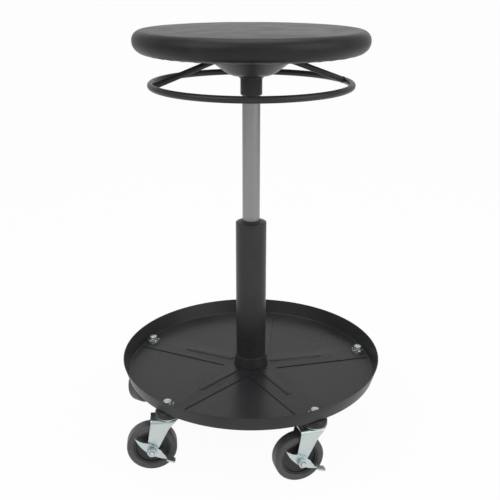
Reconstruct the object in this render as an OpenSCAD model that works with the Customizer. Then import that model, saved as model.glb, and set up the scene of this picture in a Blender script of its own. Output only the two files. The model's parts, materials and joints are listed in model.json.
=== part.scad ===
// Rolling workshop stool. A round padded seat stands on a locking gas lift, with a release
// ring under it, over a pressed steel tool tray that rolls on five braked casters.
// Lengths are in millimetres, Z is up, the floor is at zero and the lift stands on the Z axis.
// The lift is drawn at full height.

/* [Seat pad] */
// Diameter of the pad
seat_d = 356; // [320:1:400]
// Thickness of the pad
seat_t = 33; // [28:1:60]
// Rounding of the pad's top edge
seat_top_round = 15; // [8:0.5:15]
// Rounding of the pad's bottom edge
seat_bottom_round = 18; // [8:0.5:18]
// Fall of the pad's top from its flat middle to its rounded edge
seat_crown = 1; // [0.5:0.1:3]
// Thickness of the cover
cover_t = 1.2; // [0.8:0.1:2]
// Width of the pad's sloping edge, round its flat middle
seat_edge_w = 58; // [40:1:80]
// Distance from the pad's side to the edge of the plywood board under it
board_inset = 20; // [19:1:30]
// Thickness of the board
board_t = 10; // [8:0.5:15]

/* [Hub under the pad] */
// Height of the hub from the socket's foot to the board
hub_h = 65; // [60:1:80]
// Diameter of the bowl where it meets the board
bowl_top_d = 154.6; // [140:0.2:180]
// Diameter of the bowl's knee, between its floor and its wall
bowl_knee_d = 69.4; // [60:0.2:80]
// Height of the bowl's knee over the socket's foot
bowl_knee_h = 31; // [28:0.5:34]
// Height of the bowl's neck over the socket's foot
bowl_neck_h = 27.6; // [25:0.1:30]
// Radius of the bend at the knee
bowl_knee_round = 40; // [10:1:50]
// Thickness of the bowl's sheet
bowl_sheet = 2; // [1.5:0.1:3]
// Width of the bowl's screwed flange
bowl_flange_w = 12; // [11:0.5:18]
// Number of flange screws
bowl_screws = 6; // [4:1:8]
// Diameter of a flange screw's shank
screw_d = 5; // [4:0.5:6]
// Length of a flange screw's shank
screw_len = 9; // [6:0.5:10]
// Diameter of a flange screw's head
screw_head_d = 9; // [7:0.1:10]
// Thickness of a flange screw's head
screw_head_t = 2.5; // [1.5:0.1:3.5]
// Outer diameter of the taper socket
socket_d = 33.8; // [32.5:0.1:38]
// Height of the taper socket
socket_h = 39; // [35:1:43]
// Rounding of the socket's foot
socket_round = 2; // [0.5:0.1:2.5]
// Space between the socket's foot and the guide bush, at the lowest position
socket_gap = 0.5; // [0.5:0.1:3]

/* [Release ring] */
// Diameter of the ring, along the middle of its rod
ring_d = 305.2; // [280:0.2:330]
// Diameter of the ring's rod
ring_rod_d = 9.6; // [8:0.1:12]
// Diameter of the cross rod
cross_rod_d = 9.2; // [8:0.1:10]
// Drop of the ring's middle below the board
ring_drop = 48.5; // [40:0.1:55]
// Drop of the cross rod's level middle below the board
cross_drop = 10.3; // [9:0.1:12]
// Diameter on which the cross rod bends down to the ring
cross_bend_d = 100; // [90:1:110]
// Direction of the cross rod, from the X axis
cross_az = 15; // [0:1:90]
// Height of the bowl's slot for the cross rod
slot_h = 11.5; // [11:0.1:13]

/* [Gas lift] */
// Stroke of the lift
lift_travel = 200; // [120:1:205]
// Diameter of the pressure tube
tube_d = 28; // [27:0.1:28.5]
// Bore of the pressure tube
tube_bore = 23; // [20:0.1:24]
// Length of the taper at the tube's top
taper_len = 45; // [42:0.5:50]
// Diameter of the tube's top, where the taper ends
taper_top_d = 26.6; // [25.5:0.1:27]
// Diameter of the piston rod
piston_rod_d = 10; // [9:0.1:12]
// Diameter of the rod's foot, which the clip holds
rod_foot_d = 8; // [7:0.1:8.5]
// Thickness of the piston
piston_h = 12; // [8:0.5:20]
// Length of the bush that closes the tube's lower end
end_bush_h = 12; // [8:0.5:20]
// Height of the valve body
valve_h = 26; // [20:0.5:35]
// Diameter of the release pin
pin_d = 6; // [5:0.1:8]
// Length of the release pin
pin_len = 24; // [20:0.5:26]
// Space left between the tube and the bump stop, at the lowest position
tube_stop = 0.5; // [0.3:0.1:2]
// Depth of the end bush inside the tube
end_bush_in = 1; // [0.5:0.1:3]
// Space between the piston and the end bush, at the highest position
rebound = 3; // [1:0.1:6]
// Length of the rod's tip over the piston
rod_tip = 2; // [1:0.1:4]
// Length of the rod's foot below the clip
rod_tail = 4.3; // [2:0.1:5]

/* [Thrust bearing under the lift] */
// Diameter of the two races
race_d = 26; // [24:0.1:30]
// Thickness of a race
race_t = 2; // [1.5:0.1:3]
// Diameter of a ball
thrust_ball_d = 3.9; // [3:0.1:4.5]
// Diameter of the circle that the balls run on
thrust_ring_d = 18; // [17:0.1:20]
// Number of balls
thrust_ball_count = 10; // [6:1:11]
// Diameter of the rubber bump stop
bump_d = 22; // [18:0.5:24]
// Height of the rubber bump stop
bump_h = 3.8; // [3:0.1:8]
// Diameter of the clip that holds the rod's foot
clip_d = 16; // [14:0.5:20]
// Bore of the clip
clip_bore = 6.6; // [6:0.1:6.6]
// Thickness of the clip
clip_t = 2; // [1:0.1:3]

/* [Column] */
// Outer diameter of the column
column_d = 50; // [45:0.5:56]
// Wall of the column
column_wall = 2; // [1.5:0.1:3]
// Height of the column over the tray's floor
column_h = 252.7; // [230:0.1:300]
// Length of the guide bush inside the column
bush_len = 48; // [30:1:60]
// Thickness of the guide bush's flange
bush_flange_t = 3; // [2:0.1:5]
// Rise of the guide bush's sloping top
bush_rise = 4.2; // [2:0.1:6]
// Width of the guide bush's lip at its top
bush_lip = 0.65; // [0.4:0.05:2]
// Height of the collar at the column's foot
foot_collar_h = 19; // [10:0.5:25]
// Thickness of the collar at its foot
foot_collar_w = 4.2; // [2.5:0.1:6]
// Thickness of the collar at its top
foot_collar_top_w = 1.2; // [0.5:0.1:2.5]
// Thickness of the plate that closes the column's foot
foot_plate_t = 6; // [4:0.5:8]

/* [Tool tray] */
// Diameter of the tray's rim
tray_d = 435.4; // [425:0.2:460]
// Lean of the tray's wall, from its foot to its rim
tray_lean = 7.9; // [4:0.1:12]
// Height of the tray from its underside to its rim
tray_h = 26.5; // [22:0.1:50]
// Thickness of the tray's sheet
tray_sheet = 1.4; // [1.2:0.1:2]
// Outer radius of the bend between the floor and the wall
tray_round = 4.5; // [4:0.1:5]
// Thickness of the star plate on the tray's floor
star_t = 1.2; // [0.8:0.1:2]
// Width of a star arm at the middle of the tray
star_root_w = 57; // [52:0.5:62]
// Width of a star arm at its end
star_end_w = 49; // [40:0.5:56]
// Space between the star's ends and the bend of the tray's floor
star_gap = 1; // [0.5:0.1:1.6]
// Width of the pressed bead of an arm at its foot
bead_w = 12; // [10:0.5:16]
// Width of the bead at its top
bead_top_w = 8; // [6:0.5:9]
// Height of the bead over the plate
bead_h = 1.2; // [0.8:0.1:2]
// Space between the column's collar and a bead
bead_gap = 2.8; // [2:0.1:10]
// Length of a bead between the middles of its round ends
bead_len = 82; // [40:1:110]
// Diameter of the hole under the lift
tray_hole_d = 26; // [22:0.5:30]

/* [Casters] */
// Distance from the edge of the tray's underside to a stem's axis
stem_inset = 14.75; // [14:0.05:20]
// Direction of the first stem, from the X axis
stem_az = 12.2; // [0:0.1:72]
// Direction in which each caster trails, from the X axis
caster_yaws = [142, 176, 239, 186, 197];
// Diameter of a wheel
wheel_d = 79; // [60:0.2:100]
// Width of a tyre
wheel_w = 24; // [22:0.5:36]
// Depth of the tyre's rubber
tyre_t = 11; // [8:0.5:13]
// Rounding of the tread's edge
tread_round = 4; // [2:0.5:7]
// Chamfer at the tyre's inner edge
bead = 1.5; // [0.5:0.1:2]
// Distance from the tyre's side to the side of the hub's rim
rim_inset = 2; // [1.5:0.1:4]
// Thickness of the hub's rim
rim_t = 3; // [2:0.5:5]
// Thickness of the hub's web
web_t = 12; // [4:0.5:14]
// Outer diameter of the hub's barrel
barrel_d = 20; // [16:0.5:26]
// Rounding of the hub's inner corners
hub_round = 2; // [0.5:0.1:2.5]
// Distance from the stem's axis to the axle's axis, seen from above
caster_trail = 26.5; // [24:0.5:32]
// Space between the wheel and the fork's crown
crown_space = 8.5; // [4:0.1:15]
// Space between the wheel's side and the fork's leg
leg_space = 1.5; // [1:0.1:3]
// Thickness of the fork's sheet
fork_sheet = 2.5; // [2:0.1:3]
// Outer radius of the bend between the crown and a leg
fork_round = 5.5; // [4:0.5:8]
// Reach of the crown behind the stem's axis, over the wheel
crown_back = 27; // [22:0.5:30]
// Reach of a leg's top in front of the stem's axis
leg_front = 5.5; // [4:0.5:7]
// Diameter of the crown's rounded front, seen from above
crown_front_d = 40; // [38:0.5:44]
// Distance from the stem's axis back to the middle of that rounding
crown_shift = 2; // [0:0.5:4]
// Diameter of a leg's round end
leg_end_d = 16; // [16:0.5:22]
// Diameter of the threaded stem
stem_d = 12.7; // [10:0.1:13]
// Width across the flats of the stem's nut
nut_af = 19; // [18:0.1:22]
// Height of the stem's nut
nut_h = 5.4; // [4:0.1:11]
// Thickness of the stem's washer
washer_t = 1.2; // [1:0.1:2.5]
// Diameter of the stem's washer
washer_d = 19.4; // [18:0.1:19.4]
// Length of stem that shows over the nut
stem_proud = 2.3; // [1:0.1:6]
// Diameter of the upper race cup
cup_d = 39; // [36:0.5:42]
// Diameter of the upper race cup's flat top
cup_top_d = 31.2; // [29:0.1:34]
// Height of the upper race cup
cup_h = 11.4; // [10:0.1:14]
// Thickness of the upper race cup's sheet
cup_sheet = 2; // [1.5:0.1:2.5]
// Rounding of the upper race cup
cup_round = 3; // [2.5:0.1:3.5]
// Space between the cup and the fork's crown
cup_space = 2.6; // [1:0.1:4]
// Diameter of the dome pressed up from the crown
dome_d = 29; // [28:0.1:31]
// Diameter of the stem's shoulder inside the ball ring
shoulder_d = 16; // [15:0.1:17]
// Diameter of the stem's riveted head
head_d = 20; // [16:0.5:22]
// Thickness of the stem's riveted head
head_t = 2.7; // [2:0.1:3.5]
// Diameter of a swivel ball
ball_d = 5.4; // [4:0.1:6]
// Number of balls in a swivel
ball_count = 10; // [6:1:10]
// Diameter of the axle bolt
axle_d = 8; // [6:0.1:9]
// Diameter of the sleeve round the axle bolt
sleeve_d = 11; // [10.5:0.1:14]
// Width across the flats of the axle bolt's head and nut
axle_af = 13; // [11:0.5:14]
// Thickness of the axle bolt's head
axle_head_t = 5; // [3:0.1:6]
// Thickness of the axle bolt's nut
axle_nut_t = 6.5; // [4:0.1:8]
// Length of bolt that shows past the nut
axle_proud = 1; // [0.5:0.1:4]

/* [Brake levers] */
// Length of the brake lever between its tips
lever_len = 68.6; // [60:0.1:75]
// Depth of the lever's curved edge
lever_sag = 10.8; // [8:0.1:14]
// Slope of the lever
lever_tilt = 37.1; // [25:0.1:42]
// Rise of the lever's chord over the axle
lever_rise = 4.2; // [0:0.1:6]
// Shift of the lever's middle from the axle, away from its pedal
lever_shift = 1.5; // [0:0.1:3]
// Thickness of the lever's upper edge over its chord
lever_edge = 1.2; // [0.5:0.1:2]
// Width of the lever's neck at its chord
lever_neck_w = 44; // [30:0.5:50]
// Width of the lever's neck at the boss
lever_neck_top_w = 18; // [12:0.1:20]
// Height of the lever's neck over the axle
lever_neck_h = 9; // [6:0.1:10]
// Diameter of the lever's boss
lever_boss_d = 20; // [18:0.5:24]
// Thickness of the lever's sheet
lever_sheet = 2.5; // [2:0.1:3]
// Distance from the axle to the pedal's near end, along the lever
pedal_from = 23; // [18:0.5:26]
// Height of the pedal's near end over the axle, across the lever
pedal_rise = 6; // [4:0.5:8]
// Turn of the pedal from the lever's chord
pedal_turn = 17; // [5:0.5:30]
// Length of the lever's pedal
pedal_len = 15; // [10:0.5:18]
// Width of the lever's pedal
pedal_w = 12; // [8:0.5:16]

/* [Hidden] */
$fn = 96;
// Clearance of a shaft that turns or slides in its bore, measured on the radius
run = 0.05;
// The same for the stamped and rolling parts of a caster
loose = 0.1;
// Clearance between flat faces that move past each other
side = 0.3;
// Clearance of a part that is set into another on assembly
seat_in = 0.05;
// Clearance round a soft part
soft = 0.3;
// Clearance of the threaded stem in its hole
stem_play = 0.25;
// Extra length of every cut past the faces that it leaves
over = 1;
// Bevel of a stem's end
bevel = 1;
// Steps in each rounded corner
arc_steps = 6;
// Number of facets of rods, small rounds and balls
rod_fn = 32;
round_fn = 48;
ball_fn = 24;
hex_fn = 6;
edge_fn = 180;
casters = len(caster_yaws);

// Casters, from the floor up
axle_z = wheel_d / 2;
rim_d = wheel_d - 2 * tyre_t;
leg_gap = wheel_w + 2 * leg_space;
fork_w = leg_gap + 2 * fork_sheet;
hub_w = leg_gap - 2 * side;
rim_w = wheel_w - 2 * rim_inset;
crown_under_z = wheel_d + crown_space;
crown_z = crown_under_z + fork_sheet;
tray_z = crown_z + cup_space + cup_h;
cup_roof_z = tray_z - cup_sheet;
dome_z = cup_roof_z - ball_d - 2 * loose;
head_z = dome_z - fork_sheet - side - head_t;
ball_ring_d = shoulder_d + ball_d + 4 * loose;
lever_y = fork_w / 2 + side;
axle_nut_y = lever_y + lever_sheet + side;
// The pedal's far end, seen from the side in the lever's own frame
pedal_tip = [-pedal_from - pedal_len * cos(pedal_turn), pedal_rise + pedal_len * sin(pedal_turn)];

// Tray
tray_base_d = tray_d - 2 * tray_lean;
stem_circle_d = tray_base_d - 2 * stem_inset;
tray_floor_z = tray_z + tray_sheet;
star_z = tray_floor_z + star_t;
// The star ends before the bend between the floor and the wall begins
bend_reach = tray_round * tan((90 - atan(tray_lean / tray_h)) / 2);
star_d = tray_base_d - 2 * (bend_reach + star_gap);
bead_from = column_d / 2 + foot_collar_w + bead_gap + bead_w / 2;
rim_z = tray_z + tray_h;
stem_top_z = star_z + washer_t + nut_h + stem_proud;
stem_hole_d = stem_d + 2 * stem_play;

// Lift, from the star plate up, at full height
race_low_z = star_z + foot_plate_t;
race_high_z = race_low_z + race_t + thrust_ball_d + 2 * loose;
rod_shoulder_z = race_high_z + race_t;
bump_top_z = rod_shoulder_z + bump_h;
tube_z = bump_top_z + tube_stop + lift_travel;
end_bush_z = tube_z + end_bush_in;
piston_z = end_bush_z + end_bush_h + rebound;
clip_z = star_z - side - clip_t;
column_top_z = star_z + column_h;
bush_flange_z = column_top_z + bush_flange_t;
bush_top_z = bush_flange_z + bush_rise;

// Hub and ring
socket_z = bush_top_z + lift_travel + socket_gap;
board_z = socket_z + hub_h;
tube_top_z = socket_z + taper_len;
bowl_wall_slope = 2 * (hub_h - bowl_sheet - bowl_knee_h) / (bowl_top_d - bowl_knee_d);
ring_z = board_z - ring_drop;
cross_z = board_z - cross_drop;
cross_slope = 2 * (cross_z - ring_z) / (ring_d - cross_bend_d);
cross_angle = atan(cross_slope);
screw_circle_d = bowl_top_d + bowl_flange_w + screw_d / 4;

// The cross rod tips about the top of its slot, where its upper side, with the clearance, meets the
// bowl's inner wall. Both lines are taken back to the lift's axis and crossed.
cross_top_at_axis = ring_z + cross_slope * ring_d / 2 + cross_rod_d / 2 / cos(cross_angle) + side;
bowl_in_at_axis = socket_z + bowl_knee_h - bowl_wall_slope * bowl_knee_d / 2
    + bowl_sheet * sqrt(1 + bowl_wall_slope * bowl_wall_slope);
fulcrum_r = (cross_top_at_axis - bowl_in_at_axis) / (bowl_wall_slope + cross_slope);
fulcrum_z = cross_top_at_axis - cross_slope * fulcrum_r;
slot_w = cross_rod_d + 4 * side;
pin_top_z = cross_z - cross_rod_d / 2 - side;
pin_foot_z = pin_top_z - pin_len;

// Pad
board_d = seat_d - 2 * board_inset;
seat_flat_d = seat_d - 2 * seat_edge_w;
pad_top_z = board_z + seat_t;
pad_bottom_r = min(seat_bottom_round, (seat_t + seat_bottom_round - seat_top_round) / 2);
pad_top_r = min(seat_top_round, seat_t - pad_bottom_r - seat_crown);

// Outlines. A path is a list of [x, y, corner radius].
function flat(p) = [p.x, p.y];
function unit(v) = v / norm(v);
function left_of(v) = [-v.y, v.x];
function spun(p, angle) = [p.x * cos(angle) - p.y * sin(angle), p.x * sin(angle) + p.y * cos(angle)];
function cross_of(a, b) = a.x * b.y - a.y * b.x;

// Points of the arc that rounds the corner at q, between its neighbours p and s
function corner(p, q, s, r) =
    let (
        u = unit(flat(p) - flat(q)),
        v = unit(flat(s) - flat(q)),
        half = acos(u * v) / 2,
        middle = flat(q) + unit(u + v) * r / sin(half),
        reach = r / tan(half),
        a = flat(q) + u * reach - middle,
        b = flat(q) + v * reach - middle,
        start = atan2(a.y, a.x),
        sweep = atan2(cross_of(a, b), a * b)
    )
    [for (i = [0 : arc_steps]) let (t = start + sweep * i / arc_steps) middle + r * [cos(t), sin(t)]];

// An open path with its inner corners rounded
function rounded(p) = [
    for (i = [0 : len(p) - 1])
        each (i > 0 && i < len(p) - 1 && p[i].z > 0)
            ? corner(p[i - 1], p[i], p[i + 1], p[i].z)
            : [flat(p[i])]
];

// A path moved to its left by t, with each corner's radius grown or shrunk to match
function moved(p, t) = [
    for (i = [0 : len(p) - 1])
        let (
            a = unit(flat(p[max(i, 1)]) - flat(p[max(i, 1) - 1])),
            b = unit(flat(p[min(i, len(p) - 2) + 1]) - flat(p[min(i, len(p) - 2)])),
            n = (left_of(a) + left_of(b)) / (1 + a * b)
        )
        [p[i].x + t * n.x, p[i].y + t * n.y, p[i].z > 0 ? p[i].z - t * sign(cross_of(a, b)) : 0]
];

function reversed(p) = [for (i = [len(p) - 1 : -1 : 0]) p[i]];

// The closed outline of a sheet of thickness t that lies to the left of a path
function sheet(p, t) = concat(rounded(p), reversed(rounded(moved(p, t))));

// A path and its mirror image in the X axis, as one outline
function both_sides(p) = concat(p, [for (q = reversed(p)) [q.x, -q.y, q.z]]);

// A solid of revolution about Z from an outline
module turned(points) {
    rotate_extrude() polygon(points);
}

// A tube from z_low to z_high
module pipe(d, bore, z_low, z_high) {
    turned([[bore / 2, z_low], [d / 2, z_low], [d / 2, z_high], [bore / 2, z_high]]);
}

function stem_dir(k) = stem_az + (k - 1) * 360 / casters;

// Puts its children on the stem of caster k, with X along the caster's trail
module on_caster(k) {
    rotate([0, 0, stem_dir(k)])
        translate([stem_circle_d / 2, 0, 0])
            rotate([0, 0, caster_yaws[k - 1] - stem_dir(k)])
                children();
}

// Puts its children on each stem in turn
module on_every_stem() {
    for (k = [1 : casters]) on_caster(k) children();
}

// Puts its children on the axle, turned so that their Z axis lies along the axle
module on_axle() {
    translate([caster_trail, 0, axle_z]) rotate([-90, 0, 0]) children();
}

// A ring of balls at height z
module ball_ring(ring_d, d, n, z) {
    for (i = [0 : n - 1])
        rotate([0, 0, i * 360 / n]) translate([ring_d / 2, 0, z]) sphere(d = d, $fn = ball_fn);
}

// A hexagon nut with bevelled corners, from z = 0
module hex_nut(af, h, bore) {
    corner_r = af / 2 / cos(180 / hex_fn);
    fall = (corner_r - af / 2) / 2;
    difference() {
        intersection() {
            cylinder(r = corner_r, h = h, $fn = hex_fn);
            turned([[0, 0], [af / 2, 0], [corner_r, fall], [corner_r, h - fall], [af / 2, h], [0, h]]);
        }
        if (bore > 0) translate([0, 0, -over]) cylinder(d = bore, h = h + 2 * over);
    }
}

// Tool tray

// Holes for the stems, through a sheet of thickness t that lies at z
module stem_holes(z, t) {
    on_every_stem() translate([0, 0, z - over]) cylinder(d = stem_hole_d, h = t + 2 * over);
}

module tray() {
    color([0.09, 0.09, 0.1])
    difference() {
        turned(sheet([
            [tray_hole_d / 2, tray_z, 0],
            [tray_base_d / 2, tray_z, tray_round],
            [tray_d / 2, rim_z, 0]
        ], tray_sheet));
        stem_holes(tray_z, tray_sheet);
    }
}

// One bead's form, narrower at its top: round ends joined by a straight ridge
module bead_form(low_w, high_w, h, z) {
    translate([bead_from, 0, z]) {
        for (x = [0, bead_len])
            translate([x, 0, 0]) cylinder(d1 = low_w, d2 = high_w, h = h);
        rotate([90, 0, 90])
            linear_extrude(height = bead_len)
                polygon([[-low_w / 2, 0], [low_w / 2, 0], [high_w / 2, h], [-high_w / 2, h]]);
    }
}

// Star plate: carries the column and the stems' nuts, one arm for each caster
module star_plate() {
    narrowing = (star_root_w - star_end_w) / star_d;
    // Where the sides of two neighbouring arms meet, seen along an arm
    meet = star_root_w / 2 / (tan(180 / casters) + narrowing);
    corners = [
        [meet, -meet * tan(180 / casters)],
        [star_d / 2, -star_end_w / 2],
        [star_d / 2, star_end_w / 2]
    ];
    // Change of the bead's width for each millimetre of height
    spread = (bead_w - bead_top_w) / bead_h;
    // How much narrower the bead's inner side is, through the plate's thickness
    less = star_t * (sqrt(4 + spread * spread) - spread);
    color([0.09, 0.09, 0.1])
    difference() {
        union() {
            intersection() {
                translate([0, 0, tray_floor_z])
                    linear_extrude(height = star_t)
                        polygon([for (k = [1 : casters], p = corners) spun(p, stem_dir(k))]);
                translate([0, 0, tray_floor_z - over]) cylinder(d = star_d, h = star_t + 2 * over);
            }
            for (k = [1 : casters])
                rotate([0, 0, stem_dir(k)])
                    bead_form(bead_w + spread * star_t, bead_top_w, star_t + bead_h, tray_floor_z);
        }
        for (k = [1 : casters])
            rotate([0, 0, stem_dir(k)])
                bead_form(bead_w - less + spread * over, bead_top_w - less, bead_h + over, tray_floor_z - over);
        stem_holes(tray_floor_z, star_t);
        translate([0, 0, tray_floor_z - over]) cylinder(d = tray_hole_d, h = star_t + 2 * over);
    }
}

// Column

module column_tube() {
    color([0.1, 0.1, 0.11]) pipe(column_d, column_d - 2 * column_wall, star_z, column_top_z);
}

module foot_collar() {
    bore_r = column_d / 2 + seat_in;
    color([0.08, 0.08, 0.09])
        turned([
            [bore_r, star_z], [column_d / 2 + foot_collar_w, star_z],
            [column_d / 2 + foot_collar_top_w, star_z + foot_collar_h],
            [bore_r, star_z + foot_collar_h]
        ]);
}

module foot_plate() {
    color("dimgray")
        pipe(column_d - 2 * column_wall - 2 * seat_in, rod_foot_d + 2 * run, star_z, race_low_z);
}

module guide_bush() {
    bore_r = tube_d / 2 + run;
    body_r = column_d / 2 - column_wall - seat_in;
    color([0.12, 0.12, 0.13])
        turned([
            [bore_r, column_top_z - bush_len], [body_r, column_top_z - bush_len],
            [body_r, column_top_z], [column_d / 2, column_top_z], [column_d / 2, bush_flange_z],
            [bore_r + bush_lip, bush_top_z], [bore_r, bush_top_z]
        ]);
}

// Thrust bearing at the rod's foot

module thrust_race_low() {
    color("silver") pipe(race_d, rod_foot_d + 2 * side, race_low_z, race_low_z + race_t);
}

module thrust_balls() {
    middle_z = (race_low_z + race_t + race_high_z) / 2;
    color("gainsboro") ball_ring(thrust_ring_d, thrust_ball_d, thrust_ball_count, middle_z);
}

module thrust_race_high() {
    color("silver") pipe(race_d, rod_foot_d + 2 * run, race_high_z, rod_shoulder_z);
}

module bump_stop() {
    color([0.15, 0.15, 0.15]) pipe(bump_d, piston_rod_d + 2 * run, rod_shoulder_z, bump_top_z);
}

// Piston rod, with its foot, its clip and its piston

module piston_rod() {
    foot_r = rod_foot_d / 2;
    color("silver")
        turned([
            [0, clip_z - rod_tail], [foot_r, clip_z - rod_tail],
            [foot_r, clip_z - seat_in], [clip_bore / 2, clip_z - seat_in],
            [clip_bore / 2, clip_z + clip_t + seat_in], [foot_r, clip_z + clip_t + seat_in],
            [foot_r, rod_shoulder_z], [piston_rod_d / 2, rod_shoulder_z],
            [piston_rod_d / 2, piston_z], [foot_r, piston_z],
            [foot_r, piston_z + piston_h + rod_tip], [0, piston_z + piston_h + rod_tip]
        ]);
}

module piston_head() {
    color("darkgray")
        pipe(tube_bore - 2 * run, rod_foot_d + 2 * seat_in, piston_z, piston_z + piston_h);
}

module retaining_clip() {
    mouth_w = clip_bore - 2 * side;
    color("gray")
        difference() {
            pipe(clip_d, clip_bore + 2 * seat_in, clip_z, clip_z + clip_t);
            translate([0, -mouth_w / 2, clip_z - over]) cube([clip_d, mouth_w, clip_t + 2 * over]);
        }
}

// Pressure tube, which carries the seat

module pressure_tube() {
    color([0.62, 0.62, 0.63])
        turned([
            [tube_bore / 2, tube_z], [tube_d / 2, tube_z], [tube_d / 2, socket_z],
            [taper_top_d / 2, tube_top_z], [tube_bore / 2, tube_top_z]
        ]);
}

module tube_end_bush() {
    color([0.2, 0.2, 0.2])
        pipe(tube_bore - 2 * seat_in, piston_rod_d + 2 * run, end_bush_z, end_bush_z + end_bush_h);
}

module valve_body() {
    color("slategray")
        difference() {
            translate([0, 0, tube_top_z - valve_h])
                cylinder(d = tube_bore - 2 * seat_in, h = valve_h);
            translate([0, 0, pin_foot_z - rebound])
                cylinder(d = pin_d + 2 * loose, h = tube_top_z - pin_foot_z + rebound + over);
        }
}

module release_pin() {
    color("silver") translate([0, 0, pin_foot_z]) cylinder(d = pin_d, h = pin_len);
}

// Hub

module taper_socket() {
    fall = (tube_d - taper_top_d) / 2 / taper_len;
    color([0.1, 0.1, 0.11])
        turned(rounded([
            [tube_d / 2 - fall * socket_h + seat_in, socket_z + socket_h, 0],
            [tube_d / 2 + seat_in, socket_z, 0],
            [socket_d / 2, socket_z, socket_round],
            [socket_d / 2, socket_z + socket_h, 0]
        ]));
}

// Puts its children on each flange screw's axis in turn, at height z
module on_every_screw(z) {
    for (i = [0 : bowl_screws - 1])
        rotate([0, 0, cross_az + (i + 1 / 2) * 360 / bowl_screws])
            translate([screw_circle_d / 2, 0, z])
                children();
}

module hub_bowl() {
    color([0.1, 0.1, 0.11])
    difference() {
        turned(sheet([
            [socket_d / 2 + seat_in, socket_z + bowl_neck_h, 0],
            [bowl_knee_d / 2, socket_z + bowl_knee_h, bowl_knee_round],
            [bowl_top_d / 2, board_z - bowl_sheet, bowl_sheet],
            [bowl_top_d / 2 + bowl_flange_w, board_z - bowl_sheet, 0]
        ], bowl_sheet));
        translate([0, 0, socket_z]) cylinder(d = socket_d + 2 * seat_in, h = socket_h + over);
        rotate([0, 0, cross_az])
            translate([-bowl_top_d, -slot_w / 2, fulcrum_z - slot_h])
                cube([2 * bowl_top_d, slot_w, slot_h]);
        on_every_screw(board_z - bowl_sheet - over)
            cylinder(d = screw_d + 2 * loose, h = bowl_sheet + 2 * over);
    }
}

module flange_screws() {
    color("silver")
        on_every_screw(board_z - bowl_sheet) {
            translate([0, 0, -screw_head_t])
                cylinder(d1 = screw_d, d2 = screw_head_d, h = screw_head_t);
            cylinder(d = screw_d, h = screw_len);
        }
}

// Pad and board

module seat_board() {
    color("burlywood")
        difference() {
            translate([0, 0, board_z]) cylinder(d = board_d, h = board_t);
            on_every_screw(board_z - over)
                cylinder(d = screw_d + 2 * seat_in, h = screw_len - bowl_sheet + over + side);
        }
}

// The cover's outer face, from the board's edge round the pad to the middle of its top
function pad_path() = [
    [board_d / 2 + soft, board_z, 0],
    [seat_d / 2, board_z, pad_bottom_r],
    [seat_d / 2, pad_top_z - seat_crown, pad_top_r],
    [seat_flat_d / 2, pad_top_z, 0],
    [0, pad_top_z, 0]
];

module seat_foam() {
    color([0.75, 0.7, 0.55])
        turned(concat(
            [[0, board_z + board_t], [board_d / 2 + soft, board_z + board_t]],
            rounded(moved(pad_path(), cover_t + seat_in))
        ));
}

module seat_cover() {
    color([0.13, 0.13, 0.14]) turned(sheet(pad_path(), cover_t));
}

// Release ring

module ring_hoop() {
    color([0.1, 0.1, 0.11])
        translate([0, 0, ring_z])
            rotate_extrude() translate([ring_d / 2, 0]) circle(d = ring_rod_d, $fn = rod_fn);
}

module cross_rod() {
    arm_len = (ring_d - cross_bend_d) / 2 / cos(cross_angle);
    color([0.1, 0.1, 0.11])
    difference() {
        rotate([0, 0, cross_az]) {
            translate([-cross_bend_d / 2, 0, cross_z])
                rotate([0, 90, 0]) cylinder(d = cross_rod_d, h = cross_bend_d, $fn = rod_fn);
            for (turn = [0, 180])
                rotate([0, 0, turn])
                    translate([cross_bend_d / 2, 0, cross_z]) {
                        sphere(d = cross_rod_d, $fn = rod_fn);
                        rotate([0, 90 + cross_angle, 0])
                            cylinder(d = cross_rod_d, h = arm_len, $fn = rod_fn);
                    }
        }
        translate([0, 0, ring_z])
            rotate_extrude()
                translate([ring_d / 2, 0]) circle(d = ring_rod_d + 2 * seat_in, $fn = rod_fn);
    }
}

// Caster stems, fixed in the tray

module caster_stems() {
    stem_r = stem_d / 2;
    color("lightsteelblue")
        on_every_stem()
            turned([
                [0, head_z], [head_d / 2, head_z],
                [head_d / 2, head_z + head_t], [stem_r, head_z + head_t],
                [stem_r, dome_z + side], [shoulder_d / 2, dome_z + side],
                [shoulder_d / 2, cup_roof_z], [stem_r, cup_roof_z],
                [stem_r, stem_top_z - bevel], [stem_r - bevel, stem_top_z], [0, stem_top_z]
            ]);
}

module stem_washers() {
    color("silver")
        on_every_stem() pipe(washer_d, stem_hole_d, star_z, star_z + washer_t);
}

module stem_nuts() {
    color("silver")
        on_every_stem()
            translate([0, 0, star_z + washer_t]) hex_nut(nut_af, nut_h, stem_d + 2 * seat_in);
}

module race_cups() {
    color("lightsteelblue")
        on_every_stem()
            turned(sheet([
                [cup_d / 2, crown_z + cup_space, 0],
                [cup_d / 2, tray_z - (cup_d - cup_top_d) / 2, cup_round],
                [cup_top_d / 2, tray_z, cup_round],
                [stem_d / 2 + seat_in, tray_z, 0]
            ], cup_sheet));
}

module swivel_balls() {
    color("gainsboro")
        on_every_stem() ball_ring(ball_ring_d, ball_d, ball_count, (dome_z + cup_roof_z) / 2);
}

// Fork: a channel of sheet steel, cut to its side view and its plan

// The channel seen along the trail, with rounded upper corners
module channel_end(w, z_high, r) {
    translate([-w / 2, 0]) square([w, z_high - r]);
    translate([-w / 2 + r, 0]) square([w - 2 * r, z_high]);
    for (s = [-1, 1]) translate([s * (w / 2 - r), z_high - r]) circle(r = r, $fn = round_fn);
}

// Where a straight edge from point p touches a circle, on its left or its right
function touch(p, middle, r, hand) =
    let (d = p - middle, a = atan2(d.y, d.x) + hand * acos(r / norm(d)))
    middle + r * [cos(a), sin(a)];

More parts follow.
